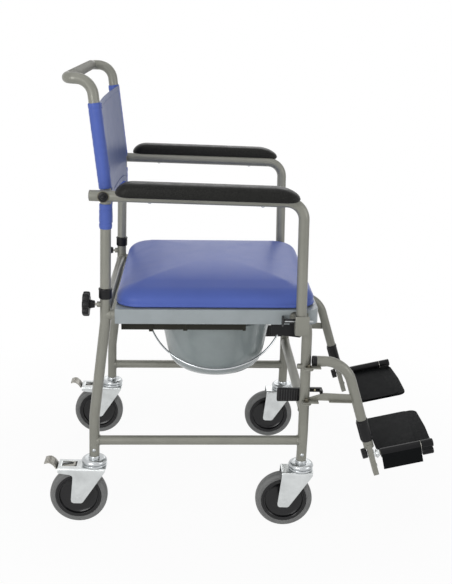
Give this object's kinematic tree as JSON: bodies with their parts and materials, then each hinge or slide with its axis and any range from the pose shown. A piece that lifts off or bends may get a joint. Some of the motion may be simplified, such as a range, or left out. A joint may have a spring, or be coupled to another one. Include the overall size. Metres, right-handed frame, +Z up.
{
  "type": "wheeled commode chair",
  "caption": "Attendant-pushed tubular commode chair on swivel casters, with a padded seat over a slide-out pan, a sling back, flip-up arms and swing-away legrests with flip-up footplates.",
  "frame": {"origin": "on the floor, under the middle of the whole chair", "axes": "+X forward, the way a seated person faces; +Y to that person's left; +Z up"},
  "size_m": [0.8456, 0.6104, 0.9638],
  "materials": {
    "frame_paint": "satin grey paint",
    "zinc_plate": "zinc plate",
    "bright_metal": "polished",
    "bright_wire": "polished wire",
    "vinyl": "satin blue vinyl",
    "black_plastic": "satin",
    "foam": "moulded foam skin",
    "seat_plate_plastic": "satin",
    "pan_plastic": "gloss",
    "tyre_rubber": "matte, fine ribs",
    "footplate_plastic": "fine grain"
  },
  "bodies": {
    "frame": {"rear_cross_tube": "frame_paint", "front_cross_tube": "frame_paint", "lower_cross_tube": "frame_paint", "seat_plate": "seat_plate_plastic", "caster_head_rear_right": "bright_metal", "caster_head_rear_left": "bright_metal", "caster_head_front_right": "bright_metal", "caster_head_front_left": "bright_metal", "side_frame_right": "frame_paint", "side_frame_left": "frame_paint", "post_collar_right": "black_plastic", "post_collar_left": "black_plastic", "pan_rail_right": "black_plastic", "pan_rail_left": "black_plastic"},
    "caster_rear_right": {"caster_fork_rear_right": "zinc_plate", "caster_axle_rear_right": "zinc_plate"},
    "wheel_rear_right": {"caster_hub_rear_right": "black_plastic", "caster_tyre_rear_right": "tyre_rubber"},
    "caster_rear_left": {"caster_fork_rear_left": "zinc_plate", "caster_axle_rear_left": "zinc_plate"},
    "wheel_rear_left": {"caster_hub_rear_left": "black_plastic", "caster_tyre_rear_left": "tyre_rubber"},
    "caster_front_right": {"caster_fork_front_right": "zinc_plate", "caster_axle_front_right": "zinc_plate"},
    "wheel_front_right": {"caster_hub_front_right": "black_plastic", "caster_tyre_front_right": "tyre_rubber"},
    "caster_front_left": {"caster_fork_front_left": "zinc_plate", "caster_axle_front_left": "zinc_plate"},
    "wheel_front_left": {"caster_hub_front_left": "black_plastic", "caster_tyre_front_left": "tyre_rubber"},
    "brake_right": {"brake_pedal_right": "zinc_plate"},
    "brake_left": {"brake_pedal_left": "zinc_plate"},
    "back": {"back_frame": "frame_paint", "back_sling": "vinyl", "arm_pivot_bolt_right": "zinc_plate", "arm_pivot_bolt_left": "zinc_plate"},
    "clamp_right": {"back_clamp_knob_right": "black_plastic"},
    "arm_right": {"arm_tube_right": "frame_paint", "arm_pad_right": "foam"},
    "arm_lock_right": {"arm_lock_pin_right": "black_plastic"},
    "clamp_left": {"back_clamp_knob_left": "black_plastic"},
    "arm_left": {"arm_tube_left": "frame_paint", "arm_pad_left": "foam"},
    "arm_lock_left": {"arm_lock_pin_left": "black_plastic"},
    "cushion": {"seat_cushion": "vinyl"},
    "pan": {"pan": "pan_plastic"},
    "bail": {"pan_bail": "bright_wire"},
    "legrest_right": {"legrest_tube_right": "frame_paint"},
    "latch_right": {"legrest_latch_right": "black_plastic"},
    "footrest_right": {"footrest_sleeve_right": "black_plastic", "footrest_stem_right": "frame_paint", "footrest_knob_right": "black_plastic"},
    "footplate_right": {"footplate_right": "footplate_plastic"},
    "legrest_left": {"legrest_tube_left": "frame_paint"},
    "latch_left": {"legrest_latch_left": "black_plastic"},
    "footrest_left": {"footrest_sleeve_left": "black_plastic", "footrest_stem_left": "frame_paint", "footrest_knob_left": "black_plastic"},
    "footplate_left": {"footplate_left": "footplate_plastic"}
  },
  "joints": [
    {"name": "swivel_rear_right", "type": "hinge", "parent": "frame", "child": "caster_rear_right", "pos_m": [-0.3164, -0.23, 0.134], "axis": [0, 0, 1], "continuous": true},
    {"name": "roll_rear_right", "type": "hinge", "parent": "caster_rear_right", "child": "wheel_rear_right", "pos_m": [-0.3499, -0.23, 0.0625], "axis": [0, 1, 0], "continuous": true},
    {"name": "swivel_rear_left", "type": "hinge", "parent": "frame", "child": "caster_rear_left", "pos_m": [-0.3164, 0.23, 0.134], "axis": [0, 0, 1], "continuous": true},
    {"name": "roll_rear_left", "type": "hinge", "parent": "caster_rear_left", "child": "wheel_rear_left", "pos_m": [-0.3499, 0.23, 0.0625], "axis": [0, 1, 0], "continuous": true},
    {"name": "swivel_front_right", "type": "hinge", "parent": "frame", "child": "caster_front_right", "pos_m": [0.1331, -0.23, 0.134], "axis": [0, 0, 1], "continuous": true},
    {"name": "roll_front_right", "type": "hinge", "parent": "caster_front_right", "child": "wheel_front_right", "pos_m": [0.0996, -0.23, 0.0625], "axis": [0, 1, 0], "continuous": true},
    {"name": "swivel_front_left", "type": "hinge", "parent": "frame", "child": "caster_front_left", "pos_m": [0.1331, 0.23, 0.134], "axis": [0, 0, 1], "continuous": true},
    {"name": "roll_front_left", "type": "hinge", "parent": "caster_front_left", "child": "wheel_front_left", "pos_m": [0.0996, 0.23, 0.0625], "axis": [0, 1, 0], "continuous": true},
    {"name": "brake_tip_right", "type": "hinge", "parent": "caster_rear_right", "child": "brake_right", "pos_m": [-0.3594, -0.23, 0.1305], "axis": [0, -1, 0], "range_deg": [0, 12], "stiffness_Nm_per_rad": 0.5, "springref_deg": -20.05},
    {"name": "brake_tip_left", "type": "hinge", "parent": "caster_rear_left", "child": "brake_left", "pos_m": [-0.3594, 0.23, 0.1305], "axis": [0, -1, 0], "range_deg": [0, 12], "stiffness_Nm_per_rad": 0.5, "springref_deg": -20.05},
    {"name": "back_lift", "type": "slide", "parent": "frame", "child": "back", "axis": [0, 0, 1], "range_m": [0, 0.06]},
    {"name": "clamp_turn_right", "type": "hinge", "parent": "frame", "child": "clamp_right", "pos_m": [-0.3334, -0.23, 0.498], "axis": [1, 0, 0], "range_deg": [0, 360]},
    {"name": "arm_flip_right", "type": "hinge", "parent": "back", "child": "arm_right", "pos_m": [-0.2959, -0.2575, 0.7302], "axis": [0, -1, 0], "range_deg": [0, 100]},
    {"name": "arm_lock_pull_right", "type": "slide", "parent": "frame", "child": "arm_lock_right", "axis": [-1, 0, 0], "range_m": [0, 0.012], "stiffness_N_per_m": 400, "springref_m": -0.006},
    {"name": "clamp_turn_left", "type": "hinge", "parent": "frame", "child": "clamp_left", "pos_m": [-0.3334, 0.23, 0.498], "axis": [1, 0, 0], "range_deg": [0, 360]},
    {"name": "arm_flip_left", "type": "hinge", "parent": "back", "child": "arm_left", "pos_m": [-0.2959, 0.2575, 0.7302], "axis": [0, -1, 0], "range_deg": [0, 100]},
    {"name": "arm_lock_pull_left", "type": "slide", "parent": "frame", "child": "arm_lock_left", "axis": [-1, 0, 0], "range_m": [0, 0.012], "stiffness_N_per_m": 400, "springref_m": -0.006},
    {"name": "cushion_lift", "type": "slide", "parent": "frame", "child": "cushion", "axis": [0, 0, 1], "range_m": [0, 0.2]},
    {"name": "pan_slide", "type": "slide", "parent": "frame", "child": "pan", "axis": [-0.9997, 0, -0.0244], "range_m": [0, 0.35]},
    {"name": "bail_swing", "type": "hinge", "parent": "pan", "child": "bail", "pos_m": [-0.05856, 0, 0.42488], "axis": [-0.9997, 0, -0.0244], "range_deg": [0, 29]},
    {"name": "legrest_swing_right", "type": "hinge", "parent": "frame", "child": "legrest_right", "pos_m": [0.1331, -0.2525, 0.377], "axis": [0, 0, -1], "range_deg": [0, 90]},
    {"name": "latch_press_right", "type": "hinge", "parent": "frame", "child": "latch_right", "pos_m": [0.1331, -0.212, 0.308], "axis": [0, 0, -1], "range_deg": [0, 10], "stiffness_Nm_per_rad": 0.3, "springref_deg": -17.19},
    {"name": "footrest_slide_right", "type": "slide", "parent": "legrest_right", "child": "footrest_right", "axis": [0.314, 0, -0.9494], "range_m": [0, 0.03]},
    {"name": "footplate_flip_right", "type": "hinge", "parent": "footrest_right", "child": "footplate_right", "pos_m": [0.3031, -0.2435, 0.183], "axis": [0.9703, 0, 0.2419], "range_deg": [0, 90]},
    {"name": "legrest_swing_left", "type": "hinge", "parent": "frame", "child": "legrest_left", "pos_m": [0.1331, 0.2525, 0.377], "axis": [0, 0, 1], "range_deg": [0, 90]},
    {"name": "latch_press_left", "type": "hinge", "parent": "frame", "child": "latch_left", "pos_m": [0.1331, 0.212, 0.308], "axis": [0, 0, 1], "range_deg": [0, 10], "stiffness_Nm_per_rad": 0.3, "springref_deg": -17.19},
    {"name": "footrest_slide_left", "type": "slide", "parent": "legrest_left", "child": "footrest_left", "axis": [0.314, 0, -0.9494], "range_m": [0, 0.03]},
    {"name": "footplate_flip_left", "type": "hinge", "parent": "footrest_left", "child": "footplate_left", "pos_m": [0.3031, 0.2435, 0.183], "axis": [-0.9703, 0, -0.2419], "range_deg": [0, 90]}
  ]
}
